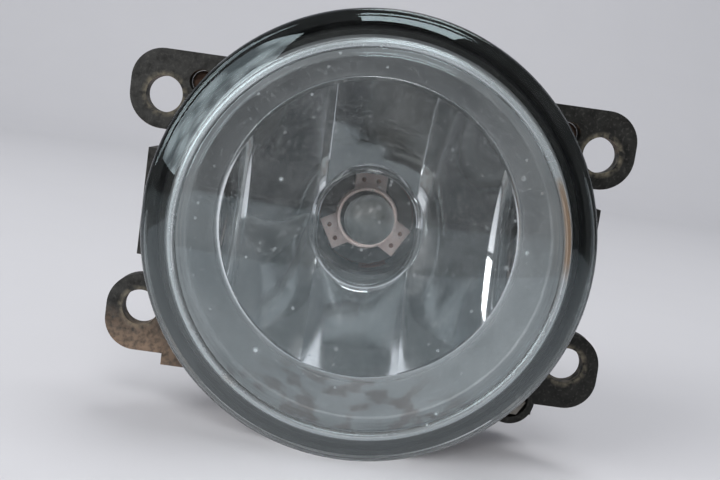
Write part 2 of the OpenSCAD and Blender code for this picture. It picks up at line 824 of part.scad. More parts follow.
// Metal collar round the pinch, with a window and three tabs that sit on the base
module bulb_collar() {
    r = collar_d / 2;
    tab_inset = 0.6;
    tab_reach = base_r - tab_inset;
    window_w = 5;
    window_h = 2;
    window_z = seat_z + collar_h - 2 * window_h;
    foot_w = 0.5;
    color("silver") facing_front() along_bulb() difference() {
        union() {
            bar(r, seat_z - collar_t / 2, seat_z + collar_h);
            translate([0, 0, base_front_z]) linear_extrude(collar_t) {
                circle(r + foot_w);
                three_times(lug_start) translate([0, -tab_w / 2]) square([tab_reach, tab_w]);
            }
        }
        bar(r - collar_t, base_front_z - cut, seat_z + collar_h + cut);
        translate([0, 0, window_z]) rotate([-90, 0, 0]) linear_extrude(collar_d) polygon(concat(
            arc([window_w / 2, 0], window_h / 2, -90, 90, 8),
            arc([-window_w / 2, 0], window_h / 2, 90, 270, 8)
        ));
    }
}

// Terminal blades: each runs from a lead wire back into the base and down into the socket
module terminal_blades() {
    leg_back_z = socket_z - blade_t / 2;
    for (side = [-1, 1]) translate([side * blade_x - blade_w / 2, 0, 0]) {
        translate([0, -blade_t / 2, leg_back_z])
            cube([blade_w, blade_t, base_front_z - lug_t - leg_back_z]);
        translate([0, connector_bottom + blade_tip, leg_back_z])
            cube([blade_w, -connector_bottom - blade_tip, blade_t]);
    }
}

// Black base with bayonet lugs, a sealing flange, a finger grip and a connector that points down
module bulb_base() {
    body_inset = 1.5;
    grip_w = 5;
    latch_w = 5;
    latch_l = 3;
    latch_h = 1.4;
    latch_inset = 4;
    body_r = base_r - body_inset;
    color([0.16, 0.16, 0.17]) facing_front() along_bulb() difference() {
        union() {
            bar(base_r, base_flange_z, base_front_z);
            three_times(lug_start) sector(base_r - cut, lug_r, lug_back_z, lug_front_z, lug_angle);
            bar(base_flange_r, connector_z, base_flange_z);
            bar(body_r, connector_z - connector_t, connector_z);
            translate([-connector_w / 2, connector_bottom, connector_z - connector_t])
                cube([connector_w, -connector_bottom, connector_t]);
            translate([-grip_w / 2, 0, connector_z - connector_t])
                cube([grip_w, base_flange_r, connector_t]);
            translate([-latch_w / 2, connector_bottom + latch_inset, connector_z - connector_t - latch_h])
                cube([latch_w, latch_l, latch_h + cut]);
        }
        translate([-socket_w / 2, connector_bottom - cut, connector_z - connector_t + socket_wall])
            cube([socket_w, socket_l + cut, socket_t]);
        terminal_blades();
        lead_wires();
    }
}

// Two brass blades in the connector
module bulb_terminals() {
    color("goldenrod") facing_front() along_bulb() terminal_blades();
}

// Rubber ring that seals the base against the neck
module bulb_o_ring() {
    section_r = o_ring_t / 2;
    color([0.6, 0.28, 0.15]) facing_front() along_bulb() translate([0, 0, base_flange_z + section_r])
        rotate_extrude() translate([base_r + section_r, 0]) circle(section_r);
}

lens();
lens_seal();
trim_ring();
reflector();
housing();
vent_membrane();
vent_cap();
adjuster_nut();
pivot_bushes();
mounting_frame();
pivot_pins();
adjuster_screw();
adjuster_washer();
adjuster_clip();
bulb_capsule();
bulb_filament();
bulb_leads();
bulb_collar();
bulb_base();
bulb_terminals();
bulb_o_ring();
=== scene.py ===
"""Looks of a round fog light: clear lens, strip mirror, bulb, weathered frame and a pale studio."""
import json
import math

import bmesh
import bpy
from mathutils import Matrix, Vector


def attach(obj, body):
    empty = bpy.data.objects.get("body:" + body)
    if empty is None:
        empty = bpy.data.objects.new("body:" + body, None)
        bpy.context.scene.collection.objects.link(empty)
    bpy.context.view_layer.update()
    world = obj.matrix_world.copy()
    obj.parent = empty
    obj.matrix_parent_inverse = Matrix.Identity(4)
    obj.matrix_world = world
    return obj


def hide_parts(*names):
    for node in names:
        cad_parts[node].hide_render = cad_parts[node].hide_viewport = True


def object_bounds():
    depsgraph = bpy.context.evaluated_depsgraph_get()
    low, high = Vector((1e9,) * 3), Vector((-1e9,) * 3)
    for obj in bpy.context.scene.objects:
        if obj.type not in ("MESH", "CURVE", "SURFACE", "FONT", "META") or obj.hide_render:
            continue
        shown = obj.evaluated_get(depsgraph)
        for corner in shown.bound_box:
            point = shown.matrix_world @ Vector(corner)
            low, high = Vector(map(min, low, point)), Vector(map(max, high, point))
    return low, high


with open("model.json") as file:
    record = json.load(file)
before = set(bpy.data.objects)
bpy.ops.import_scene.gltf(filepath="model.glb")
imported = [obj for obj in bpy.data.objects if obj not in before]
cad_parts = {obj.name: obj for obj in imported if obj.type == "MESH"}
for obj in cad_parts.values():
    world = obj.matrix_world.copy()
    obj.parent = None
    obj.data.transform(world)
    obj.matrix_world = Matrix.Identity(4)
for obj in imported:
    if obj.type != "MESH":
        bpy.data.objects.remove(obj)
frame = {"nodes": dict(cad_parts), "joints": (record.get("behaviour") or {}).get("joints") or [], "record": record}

cad_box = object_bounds()
MM = 0.001


def named(rows, name):
    """The row that has this name."""
    return next(row for row in rows if row["name"] == name)


# Mounts and joints of the part that the looks go by
EARS = named(frame["record"]["mounts"], "mounting_ears")
LOCATING = named(frame["record"]["mounts"], "locating_holes")
TWIST = named(frame["joints"], "bulb_twist")
ADJUSTER = named(frame["joints"], "adjuster_turn")

# Lens, in millimetres on the lamp's own axis: x to the right, y up, z out of the lens
LENS_R = 47.5
LENS_WALL = 3.0
DOME_RISE = 4.5
BEAD_AT = 40.0
BEAD_R = 0.9
RIM_STEP = 1.2
RIM_FALL = 3.0
EDGE_ROUND = 2.0
EDGE_BAND = 2.8
EDGE_BREAK = 0.4
TONGUE_OUT_R = 44.4
TONGUE_T = 1.8
TONGUE_L = 4.5
BOND_IN_R = 41.4
BOND_OUT_R = 46.1
DOME_R = (BEAD_AT ** 2 + DOME_RISE ** 2) / (2 * DOME_RISE)
DOME_TOP = -cad_box[0].y / MM
BEAD_Z = DOME_TOP - DOME_RISE
STEP_Z = BEAD_Z - RIM_STEP
EDGE_Z = STEP_Z - RIM_FALL - EDGE_ROUND
LENS_BACK_Z = EDGE_Z - EDGE_BAND
TONGUE_IN_R = TONGUE_OUT_R - TONGUE_T
TONGUE_Z = LENS_BACK_Z - TONGUE_L

# Trim ring and reflector, in millimetres on the lamp's own axis
STACK_GAP = 0.3
TRIM_WALL = 1.2
TRIM_H = 13.6
TRIM_R = 34.4
TRIM_LIP_OUT = 41.8
TRIM_LIP_IN = 37.7
TRIM_LIP_ROUND = 0.7
MOUTH_R = 33.2
FLANGE_R = 40.1
FOCAL = 11.5
STRIP_EDGES = (-28.0, -11.0, 11.0, 28.0)
SET_BACK_STRIPS = (1, 3)
STRIP_STEP = 0.8
STRIP_SAG = 1.1
OPENING_R = 12.9
OPENING_DROP = 3.2
LIP_ROLL = ((0.25, 0.2), (0.6, 0.1), (0.8, -0.3))
REFLECTOR_WALL = 1.2
TUBE_L = 2.0
HOUSING_TOP_Z = LENS_BACK_Z - STACK_GAP
TRIM_TOP_Z = HOUSING_TOP_Z + TRIM_WALL
MOUTH_Z = HOUSING_TOP_Z - TRIM_H
VERTEX_Z = MOUTH_Z - MOUTH_R ** 2 / (4 * FOCAL)
TUBE_END_Z = VERTEX_Z - TUBE_L

# Bulb, in millimetres on the bulb's own axis, which leans up from the lamp's axis
LIGHT_CENTRE = 25.0
FILAMENT_L = 4.1
TIP_REACH = 11.0
CAPSULE_L = 30.5
CAPSULE_R = 5.75
CAPSULE_ROUND = 2.0
CROWN_SQUASH = 0.8
GLASS_WALL = 1.0
PAINT_L = 6.0
TAB_ANGLES = (90, 210, 330)
WELD_OUT = 9.6
WELD_ASIDE = 1.9
BULB_PIVOT_Z = -TWIST["pos_m"][1] / MM
FILAMENT_Z = VERTEX_Z + FOCAL
SEAT_Z = FILAMENT_Z - LIGHT_CENTRE
TIP_Z = FILAMENT_Z + TIP_REACH
CAPSULE_START_Z = TIP_Z - CAPSULE_L
PAINT_START_Z = TIP_Z - PAINT_L

# Ear holes, locating holes and adjuster, in millimetres on the lamp's own axis
EAR_HOLE_AT = (EARS["dims"]["spacing_x_mm"] / 2, EARS["dims"]["spacing_y_mm"] / 2)
EAR_HOLE_R = EARS["dims"]["hole_r_mm"]
LOCATING_AT = (LOCATING["dims"]["spacing_x_mm"] / 2, LOCATING["pos_m"][2] / MM)
LOCATING_HOLE_R = LOCATING["dims"]["hole_r_mm"]
ADJUSTER_AT = (ADJUSTER["pos_m"][0] / MM, ADJUSTER["pos_m"][2] / MM)
SCREW_R = 2.5
THREAD_FROM_Z = -24.0
THREAD_TO_Z = -12.2
THREAD_PITCH = 1.75

# How near counts as beside, and as the same place, in millimetres
BESIDE = 0.1
SAME_PLACE = 1e-4
CUT_SNAP = 1e-5


# Places: matrices that turn millimetres on an axis into metres in the part's frame

def lamp_place():
    """The lamp's own axis: the lens faces -Y and +Z is up."""
    return Matrix(((MM, 0, 0, 0), (0, 0, -MM, 0), (0, MM, 0, 0), (0, 0, 0, 1)))


def bulb_place():
    """The bulb's own axis, which is the axis that the bulb twists about."""
    front = -Vector(TWIST["axis"]).normalized()
    right = Vector((1, 0, 0))
    up = front.cross(right)
    turn = Matrix((right, up, front)).transposed().to_4x4()
    to_pivot = Matrix.Translation((0, 0, -BULB_PIVOT_Z))
    return Matrix.Translation(Vector(TWIST["pos_m"])) @ turn @ Matrix.Scale(MM, 4) @ to_pivot


LAMP = lamp_place()
BULB = bulb_place()


# Material building

class Look:
    """A material in the making: its main shader, and short ways to add texture to it."""

    def __init__(self, name, colour, roughness, **sockets):
        self.material = bpy.data.materials.new(name)
        self.material.use_nodes = True
        self.tree = self.material.node_tree
        self.shader = self.tree.nodes["Principled BSDF"]
        self.shader.inputs["Base Color"].default_value = rgb(*colour)
        self.shader.inputs["Roughness"].default_value = roughness
        for socket, value in sockets.items():
            self.shader.inputs[socket.replace("_", " ")].default_value = value
        self.place = self.tree.nodes.new("ShaderNodeTexCoord").outputs["Object"]

    def node(self, kind, links, **settings):
        """Adds a node, sets its options and links or sets its inputs."""
        made = self.tree.nodes.new("ShaderNode" + kind)
        for option, value in settings.items():
            setattr(made, option, value)
        for socket, value in links.items():
            if isinstance(value, bpy.types.NodeSocket):
                self.tree.links.new(value, made.inputs[socket])
            else:
                made.inputs[socket].default_value = value
        return made

    def stretched(self, stretch):
        """The place on the piece, drawn out along each axis."""
        return self.node("Mapping", {"Vector": self.place, "Scale": stretch}).outputs["Vector"]

    def noise(self, size, detail=4.0, stretch=(1, 1, 1)):
        """Cloudy values from 0 to 1, with patches about as wide as the size in millimetres."""
        links = {"Vector": self.stretched(stretch), "Scale": 1 / (size * MM), "Detail": detail}
        return self.node("TexNoise", links).outputs["Fac"]

    def cells(self, size):
        """Distance from scattered points, which lie about the size in millimetres apart."""
        links = {"Vector": self.place, "Scale": 1 / (size * MM)}
        return self.node("TexVoronoi", links).outputs["Distance"]

    def specks(self, apart, outer, inner, strength):
        """Soft scattered dots of uneven strength; their radii are shares of the distance apart."""
        dots = self.levels(self.cells(apart), outer, inner)
        uneven = self.levels(self.noise(1.3 * apart, 2), 0.42, 0.65, 0.0, strength)
        return self.maths("MULTIPLY", dots, uneven)

    def levels(self, value, low, high, to_low=0.0, to_high=1.0):
        """Values between two levels, spread over another range."""
        links = {"Value": value, "From Min": low, "From Max": high, "To Min": to_low, "To Max": to_high}
        return self.node("MapRange", links).outputs["Result"]

    def maths(self, operation, first, second=0.0):
        """One sum on one or two values."""
        return self.node("Math", {0: first, 1: second}, operation=operation).outputs["Value"]

    def vector(self, operation, first, second=(0, 0, 0), result="Vector"):
        """One sum on one or two vectors."""
        return self.node("VectorMath", {0: first, 1: second}, operation=operation).outputs[result]

    def along(self, axis):
        """Place along one axis of the part, in metres."""
        return self.node("SeparateXYZ", {"Vector": self.place}).outputs[axis]

    def facing_up(self):
        """How far the surface faces up, from -1 to 1."""
        normal = self.node("NewGeometry", {}).outputs["Normal"]
        return self.node("SeparateXYZ", {"Vector": normal}).outputs["Z"]

    def from_axis(self, place=None):
        """Distance of a place from the lamp's axis, in metres."""
        flat = self.vector("MULTIPLY", place or self.place, (1, 0, 1))
        return self.vector("LENGTH", flat, result="Value")

    def from_ear_holes(self):
        """Distance from the nearest ear hole's axis, in metres."""
        folded = self.vector("ABSOLUTE", self.place)
        hole = (EAR_HOLE_AT[0] * MM, 0, EAR_HOLE_AT[1] * MM)
        return self.from_axis(self.vector("SUBTRACT", folded, hole))

    def blend(self, share, first, second):
        """Two colours mixed by a share from 0 to 1."""
        mixed = self.node("Mix", {"Factor": share, 6: first, 7: second}, data_type="RGBA")
        return mixed.outputs[2]

    def set(self, socket, value):
        """Lets a texture drive one input of the main shader."""
        self.tree.links.new(value, self.shader.inputs[socket])

    def bump(self, height, depth, strength=0.5):
        """Raises the surface by a texture, to a depth in millimetres."""
        made = self.node("Bump", {"Height": height, "Strength": strength, "Distance": depth * MM})
        self.set("Normal", made.outputs["Normal"])


def rgb(red, green, blue):
    """An opaque colour, as sockets take it."""
    return (red, green, blue, 1)


def moulded_plastic(name, colour, paler, grain=0.35, roughness=0.5):
    """Moulded plastic with fine grain, faint flow marks and uneven gloss."""
    look = Look(name, colour, roughness)
    flow = look.noise(14, 5, (1, 1, 0.4))
    look.set("Base Color", look.blend(look.levels(flow, 0.35, 0.7), rgb(*colour), rgb(*paler)))
    look.set("Roughness", look.levels(flow, 0.3, 0.7, roughness - 0.1, roughness + 0.12))
    look.bump(look.noise(grain, 2), 0.06, 0.35)
    return look.material


def sheet_metal(name, colour, darker, roughness, stretch=(1, 1, 8)):
    """Metal with fine drawn lines, dull patches and uneven gloss."""
    look = Look(name, colour, roughness, Metallic=1.0)
    lines = look.noise(0.6, 3, stretch)
    patches = look.noise(3.5, 5)
    look.set("Base Color", look.blend(look.levels(patches, 0.35, 0.75), rgb(*colour), rgb(*darker)))
    look.set("Roughness", look.levels(patches, 0.3, 0.75, roughness - 0.08, roughness + 0.2))
    look.bump(lines, 0.02, 0.3)
    return look.material


def rubber(name, colour, dusty, roughness=0.75, shine=0.5):
    """Soft rubber with a fine skin and a bloom of dust."""
    look = Look(name, colour, roughness, Specular_IOR_Level=shine)
    bloom = look.noise(5, 6)
    look.set("Base Color", look.blend(look.levels(bloom, 0.45, 0.8), rgb(*colour), rgb(*dusty)))
    look.set("Roughness", look.levels(bloom, 0.3, 0.8, roughness - 0.1, roughness + 0.15))
    look.bump(look.noise(0.5, 3), 0.08, 0.3)
    return look.material


def lens_dust_and_bead_highlight(look):
    """Share of dust and painted highlight: a film with specks on the dome, a pale haze that grows towards the
    bottom of the rim, and a painted highlight, a pale line along the bead.
    """
    from_axis = look.from_axis()
    on_rim = look.levels(from_axis, (BEAD_AT - 0.5) * MM, (BEAD_AT + 1.0) * MM)
    on_dome = look.levels(on_rim, 0.0, 1.0, 1.0, 0.2)
    film = look.levels(look.noise(9, 6), 0.35, 0.7, 0.01, 0.034)
    grit = look.specks(0.7, 0.42, 0.15, 0.1)
    small = look.specks(3.2, 0.13, 0.055, 0.34)
    large = look.specks(9, 0.085, 0.04, 0.7)
    specks = look.maths("MAXIMUM", grit, look.maths("MAXIMUM", small, large))
    dome_dust = look.maths("MULTIPLY", look.maths("ADD", film, specks), on_dome)
    # A pale haze on the rim that grows towards the rim's bottom
    lower = look.levels(look.along("Z"), 5 * MM, -30 * MM, 0.0, 0.06)
    lower_rim_haze = look.maths("MULTIPLY", on_rim, lower)
    # Painted highlight: a pale line along the bead's crest, shaded like the dust, in place of the light that the
    # rounded bead catches
    off_bead = look.maths("ABSOLUTE", look.maths("SUBTRACT", from_axis, BEAD_AT * MM))
    painted_bead_highlight = look.levels(off_bead, BEAD_R * MM, BEAD_R / 2 * MM, 0.0, 0.3)
    return look.maths("ADD", dome_dust, look.maths("ADD", lower_rim_haze, painted_bead_highlight))


def lens_glass():
    """Clear polished lens with a film of dust, pale specks, a few tan spots and a painted highlight along the
    bead.
    """
    clear = (0.95, 0.98, 0.99)
    look = Look("lens_glass", clear, 0.03, IOR=1.58, Specular_IOR_Level=1.0,
                Specular_Tint=rgb(0.76, 0.94, 1.0))
    # The share holds the dust and the painted highlight along the bead
    dust = lens_dust_and_bead_highlight(look)
    tan = look.levels(look.noise(30, 2), 0.6, 0.66)
    grain = look.blend(tan, rgb(0.6, 0.65, 0.67), rgb(0.45, 0.32, 0.22))
    look.set("Base Color", look.blend(look.levels(dust, 0.05, 0.3), rgb(*clear), grain))
    look.set("Transmission Weight", look.levels(dust, 0.0, 1.0, 1.0, 0.0))
    look.set("Roughness", look.levels(dust, 0.0, 0.5, 0.02, 0.3))
    return look.material


def trim_metallised():
    """Metallised plastic with a satin bloom, and grime at its lowest part."""
    look = Look("trim_metallised", (0.11, 0.12, 0.125), 0.5, Metallic=0.2)
    cloud = look.noise(6, 5)
    satin = look.blend(cloud, rgb(0.088, 0.096, 0.1), rgb(0.135, 0.146, 0.152))
    lowest = look.levels(look.along("Z"), -29 * MM, -34 * MM)
    grime = look.maths("MULTIPLY", lowest, look.levels(look.noise(5, 6), 0.46, 0.56))
    look.set("Base Color", look.blend(grime, satin, rgb(0.06, 0.05, 0.047)))
    look.set("Roughness", look.levels(cloud, 0.3, 0.7, 0.42, 0.58))
    look.bump(look.noise(0.4, 2), 0.02, 0.25)
    return look.material


def mirror_coating():
    """Aluminised mirror with faint waves and a light haze."""
    look = Look("mirror_coating", (0.88, 0.9, 0.91), 0.06, Metallic=1.0)
    haze = look.noise(4, 5)
    look.set("Base Color", look.blend(haze, rgb(0.84, 0.86, 0.88), rgb(0.93, 0.94, 0.94)))
    look.set("Roughness", look.levels(haze, 0.35, 0.8, 0.04, 0.14))
    look.bump(look.noise(11, 2), 0.03, 0.15)
    return look.material


def weathered_black_with_painted_light(look, bloom):
    """Colour of black plastic with a pale bloom and fibre specks, and painted light that makes it paler towards
    the left.
    """
    bloomed = look.blend(bloom, rgb(0.008, 0.0085, 0.008), rgb(0.02, 0.0205, 0.019))
    # Painted light: the bloom turns paler towards the left, where the key lamp falls, so that the right ears read
    # as shaded
    painted_light_to_left = look.levels(look.along("X"), 40 * MM, -50 * MM)
    painted_light_share = look.maths("MULTIPLY", painted_light_to_left, look.levels(bloom, 0.0, 1.0, 0.2, 0.8))
    with_painted_light = look.blend(painted_light_share, bloomed, rgb(0.046, 0.046, 0.044))
    fibres = look.levels(look.noise(0.7, 3), 0.54, 0.7, 0.0, 0.34)
    return look.blend(fibres, with_painted_light, rgb(0.085, 0.083, 0.075))


def hole_rim_rings(look):
    """Share of a patchy pale tan ring on the rims of the ear holes."""
    rim = look.levels(look.from_ear_holes(), (EAR_HOLE_R + 1.3) * MM, (EAR_HOLE_R + 0.4) * MM)
    return look.maths("MULTIPLY", rim, look.levels(look.noise(1.6, 5), 0.4, 0.62, 0.0, 0.75))


def road_dirt(look):
    """Share of dirt: on faces that look down, low on the left, and a trace everywhere."""
    down = look.levels(look.facing_up(), -0.1, -0.8)
    low = look.levels(look.along("Z"), -24 * MM, -33 * MM)
    left = look.levels(look.along("X"), -30 * MM, -45 * MM)
    caked = look.maths("MAXIMUM", down, look.maths("MULTIPLY", low, left))
    patches = look.levels(look.noise(1.2, 6), 0.24, 0.58)
    return look.maths("MULTIPLY", patches, look.maths("ADD", caked, 0.01))


def frame_plastic():
    """Weathered glass-filled plastic with painted light that pales its left side, pale tan rings round its holes,
    and tan road dirt.
    """
    look = Look("frame_plastic", (0.03, 0.03, 0.029), 0.62, Specular_IOR_Level=0.16)
    bloom = look.levels(look.noise(2.2, 6), 0.36, 0.66)
    ringed_with_painted_light = look.blend(hole_rim_rings(look), weathered_black_with_painted_light(look, bloom), rgb(0.17, 0.15, 0.11))
    look.set("Base Color", look.blend(road_dirt(look), ringed_with_painted_light, rgb(0.22, 0.155, 0.11)))
    look.set("Roughness", look.levels(bloom, 0.0, 1.0, 0.5, 0.75))
    pits = look.maths("ADD", look.noise(0.6, 4), look.maths("MULTIPLY", look.noise(2.5, 4), 1.5))
    look.bump(pits, 0.25, 0.5)
    return look.material


def bulb_glass():
    """Clear quartz with faint drawing lines, greyed by use."""
    look = Look("bulb_glass", (0.5, 0.52, 0.52), 0.02, IOR=1.46, Transmission_Weight=1.0)
    look.set("Roughness", look.levels(look.noise(2, 4), 0.4, 0.8, 0.01, 0.06))
    look.bump(look.noise(1.2, 2, (1, 0.15, 1)), 0.02, 0.2)
    return look.material


def tip_paint():
    """Dark heat-proof paint on the bulb's tip, dull and slightly blotched."""
    look = Look("bulb_tip_paint", (0.05, 0.054, 0.054), 0.35)
    blotch = look.noise(2.2, 5)
    look.set("Base Color", look.blend(blotch, rgb(0.03, 0.034, 0.034), rgb(0.07, 0.075, 0.074)))
    look.set("Roughness", look.levels(blotch, 0.3, 0.7, 0.25, 0.5))
    look.bump(look.noise(0.6, 3), 0.03, 0.3)
    return look.material


def weld_mark():
    """Brown heat-tinted metal of a weld spot."""
    look = Look("weld_mark", (0.3, 0.12, 0.07), 0.45, Metallic=0.8)
    burn = look.noise(0.5, 4)
    look.set("Base Color", look.blend(burn, rgb(0.16, 0.06, 0.04), rgb(0.42, 0.2, 0.12)))
    look.bump(burn, 0.05, 0.4)
    return look.material


def packed_dirt():
    """Dry brown road dirt, crumbly and dull."""
    look = Look("packed_dirt", (0.12, 0.07, 0.05), 0.95)
    crumbs = look.noise(0.8, 6)
    look.set("Base Color", look.blend(crumbs, rgb(0.06, 0.035, 0.027), rgb(0.19, 0.115, 0.08)))
    look.bump(crumbs, 0.4, 0.8)
    return look.material


def membrane_felt():
    """Pale felt with matted fibres."""
    look = Look("membrane_felt", (0.8, 0.8, 0.78), 0.95)
    fibres = look.noise(0.3, 6, (1, 4, 1))
    look.set("Base Color", look.blend(fibres, rgb(0.6, 0.6, 0.58), rgb(0.86, 0.86, 0.84)))
    look.bump(fibres, 0.1, 0.6)
    return look.material


LOOKS = {
    "lens_glass": lens_glass(),
    "sealing_compound": rubber("sealing_compound", (0.006, 0.007, 0.007), (0.014, 0.015, 0.015), 0.6, 0.1),
    "trim_metallised": trim_metallised(),
    "mirror_coating": mirror_coating(),
    "housing_plastic": moulded_plastic("housing_plastic", (0.022, 0.022, 0.023), (0.05, 0.05, 0.05)),
    "membrane_felt": membrane_felt(),
    "black_rubber": rubber("black_rubber", (0.03, 0.03, 0.03), (0.09, 0.085, 0.08)),
    "white_plastic": moulded_plastic("white_plastic", (0.68, 0.66, 0.58), (0.76, 0.74, 0.68), 0.5, 0.42),
    "frame_plastic": frame_plastic(),
    "plated_steel": sheet_metal("plated_steel", (0.2, 0.19, 0.17), (0.09, 0.08, 0.07), 0.48),
    "spring_steel": sheet_metal("spring_steel", (0.32, 0.32, 0.33), (0.16, 0.15, 0.15), 0.36),
    "bulb_glass": bulb_glass(),
    "tungsten": sheet_metal("tungsten", (0.36, 0.35, 0.33), (0.22, 0.2, 0.19), 0.4),
    "lead_wire": sheet_metal("lead_wire", (0.6, 0.6, 0.59), (0.42, 0.41, 0.4), 0.28),
    "collar_steel": sheet_metal("collar_steel", (0.95, 0.8, 0.76), (0.8, 0.62, 0.57), 0.46, (1, 6, 1)),
    "bulb_plastic": moulded_plastic("bulb_plastic", (0.03, 0.03, 0.032), (0.06, 0.06, 0.062)),
    "terminal_brass": sheet_metal("terminal_brass", (0.76, 0.6, 0.32), (0.5, 0.36, 0.18), 0.3),
    "red_rubber": rubber("red_rubber", (0.2, 0.05, 0.03), (0.24, 0.1, 0.07), 0.6),
}


# Mesh building

def arc(centre, radius, start, end, steps):
    """Points on an arc in the outline plane, between two angles in degrees."""
    angles = [math.radians(start + (end - start) * i / steps) for i in range(steps + 1)]
    return [(centre[0] + radius * math.cos(a), centre[1] + radius * math.sin(a)) for a in angles]


def lathe(outline, turns=192):
    """Points and faces of a closed outline of (radius, height), turned round the z axis."""
    points, faces, rings = [], [], []
    for radius, height in outline:
        first = len(points)
        if radius < SAME_PLACE:
            points.append((0, 0, height))
            rings.append([first] * turns)
            continue
        for i in range(turns):
            a = math.tau * i / turns
            points.append((radius * math.cos(a), radius * math.sin(a), height))
        rings.append(list(range(first, first + turns)))
    for lower, upper in zip(rings, rings[1:] + rings[:1]):
        for i in range(turns):
            j = (i + 1) % turns
            face = list(dict.fromkeys((lower[i], lower[j], upper[j], upper[i])))
            if len(face) > 2:
                faces.append(face)
    return points, faces


def helix(centre, radius, start, pitch, turns, per_turn):
    """Points along a wound wire, which rises by its pitch with each turn."""
    path = []
    for i in range(int(turns * per_turn) + 1):
        a = math.tau * i / per_turn
        x = centre[0] + radius * math.cos(a)
        y = centre[1] + radius * math.sin(a)
        path.append((x, y, start + pitch * i / per_turn))
    return path


def tube(path, radius, sides):
    """Points and faces of a round wire along a path of points, closed at both ends."""
    points, faces = [], []
    path = [Vector(p) for p in path]
    side = Vector((0, 0, 1))
    for i, here in enumerate(path):
        ahead = (path[min(i + 1, len(path) - 1)] - path[max(i - 1, 0)]).normalized()
        across = ahead.cross(side).normalized()
        over = across.cross(ahead)
        for k in range(sides):
            a = math.tau * k / sides
            points.append(here + radius * (math.cos(a) * across + math.sin(a) * over))
    for i in range(len(path) - 1):
        for k in range(sides):
            m = (k + 1) % sides
            faces.append((i * sides + k, i * sides + m, (i + 1) * sides + m, (i + 1) * sides + k))
    faces.append(tuple(range(sides)))
    faces.append(tuple(range(len(points) - sides, len(points))))
    return points, faces


def repeated(points, faces, places):
    """Points and faces of a shape that is repeated at several places."""
    all_points, all_faces = [], []
    for place in places:
        first = len(all_points)
        all_points += [Vector(p) + Vector(place) for p in points]
        all_faces += [[first + i for i in face] for face in faces]
    return all_points, all_faces


def new_object(name, points, faces, material):
    """A mesh with one material, put into the scene."""
    mesh = bpy.data.meshes.new(name)
    mesh.from_pydata(points, [], faces)
    mesh.materials.append(material)
    made = bpy.data.objects.new(name, mesh)
    bpy.context.scene.collection.objects.link(made)
    return made


def add_piece(name, points, faces, place, body, slot, nodes=(), look=None, sharp=35):
    """A piece of the lamp: its mesh in place, smooth except at sharp edges, riding on its body."""
    piece = new_object(name, [place @ Vector(p) for p in points], faces, look or LOOKS[slot])
    mesh = piece.data
    shape = bmesh.new()
    shape.from_mesh(mesh)
    bmesh.ops.remove_doubles(shape, verts=shape.verts, dist=SAME_PLACE * MM)
    bmesh.ops.recalc_face_normals(shape, faces=shape.faces)
    shape.to_mesh(mesh)
    shape.free()
    mesh.shade_smooth()
    mesh.set_sharp_from_angle(angle=math.radians(sharp))
    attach(piece, body)
    if nodes:
        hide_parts(*nodes)
    return piece


def paint_faces(piece, place, material, chosen):
    """Gives a second material to the faces whose corners, in millimetres on the axis, are all chosen."""
    piece.data.materials.append(material)
    to_axis = place.inverted()
    for face in piece.data.polygons:
        if all(chosen(to_axis @ piece.data.vertices[i].co) for i in face.vertices):
            face.material_index = 1


# Lens and trim ring, which replace plain solids

def add_lens():
    """Lens: shallow dome, raised bead, sloping rim, rounded edge and a tongue bonded in black."""
    bead_start, step_end = 165, 250
    dome = (0, DOME_TOP - DOME_R)
    inner_r = DOME_R - LENS_WALL
    bead_foot = 90 - math.degrees(math.asin((BEAD_AT - BEAD_R) / DOME_R))
    inner_end = 90 - math.degrees(math.asin((BEAD_AT - LENS_WALL / 2) / inner_r))
    rim_start = BEAD_AT + BEAD_R
    rim_end = LENS_R - EDGE_ROUND
    slope = RIM_FALL / (rim_end - rim_start)
    tongue_top = STEP_Z - slope * (TONGUE_IN_R - rim_start) - LENS_WALL
    bond_top = STEP_Z - slope * (BOND_IN_R - rim_start) - LENS_WALL
    outline = arc(dome, DOME_R, 90, bead_foot, 28)
    outline += arc((BEAD_AT, BEAD_Z), BEAD_R, bead_start, 0, 14)
    outline += arc((rim_start + EDGE_BREAK, STEP_Z + EDGE_BREAK), EDGE_BREAK, 180, step_end, 4)
    outline += arc((rim_end, EDGE_Z), EDGE_ROUND, 90, 0, 10)
    outline += arc((LENS_R - EDGE_BREAK, LENS_BACK_Z + EDGE_BREAK), EDGE_BREAK, 0, -90, 4)
    outline += [(BOND_OUT_R, LENS_BACK_Z), (TONGUE_OUT_R, LENS_BACK_Z), (TONGUE_OUT_R, TONGUE_Z)]
    outline += [(TONGUE_IN_R, TONGUE_Z), (TONGUE_IN_R, tongue_top), (BOND_IN_R, bond_top)]
    outline += arc(dome, inner_r, inner_end, 90, 28)

    def bonded(corner):
        in_band = BOND_IN_R - BESIDE < corner.xy.length < BOND_OUT_R + BESIDE
        return in_band and corner.z < bond_top + BESIDE

    lens = add_piece("clear_lens", *lathe(outline), LAMP, "lamp_unit", "lens_glass", ["lens"])
    paint_faces(lens, LAMP, LOOKS["sealing_compound"], bonded)
    lens.visible_shadow = False


def add_trim_ring():
    """Trim ring: a funnel with a rounded lip, from the lens back to the reflector's mouth."""
    wall_angle = 166
    lip = (TRIM_LIP_IN + TRIM_LIP_ROUND, TRIM_TOP_Z - TRIM_LIP_ROUND)
    foot = (TRIM_R + EDGE_BREAK, MOUTH_Z + EDGE_BREAK)
    outline = [(TRIM_LIP_OUT, TRIM_TOP_Z - TRIM_WALL), (TRIM_LIP_OUT, TRIM_TOP_Z)]
    outline += arc(lip, TRIM_LIP_ROUND, 90, wall_angle, 8)
    outline += arc(foot, EDGE_BREAK, wall_angle, 270, 6)
    outline += [(TRIM_R + TRIM_WALL, MOUTH_Z), (TRIM_LIP_IN + TRIM_WALL, TRIM_TOP_Z - TRIM_WALL)]
    add_piece("trim_funnel", *lathe(outline), LAMP, "lamp_unit", "trim_metallised", ["trim_ring"])


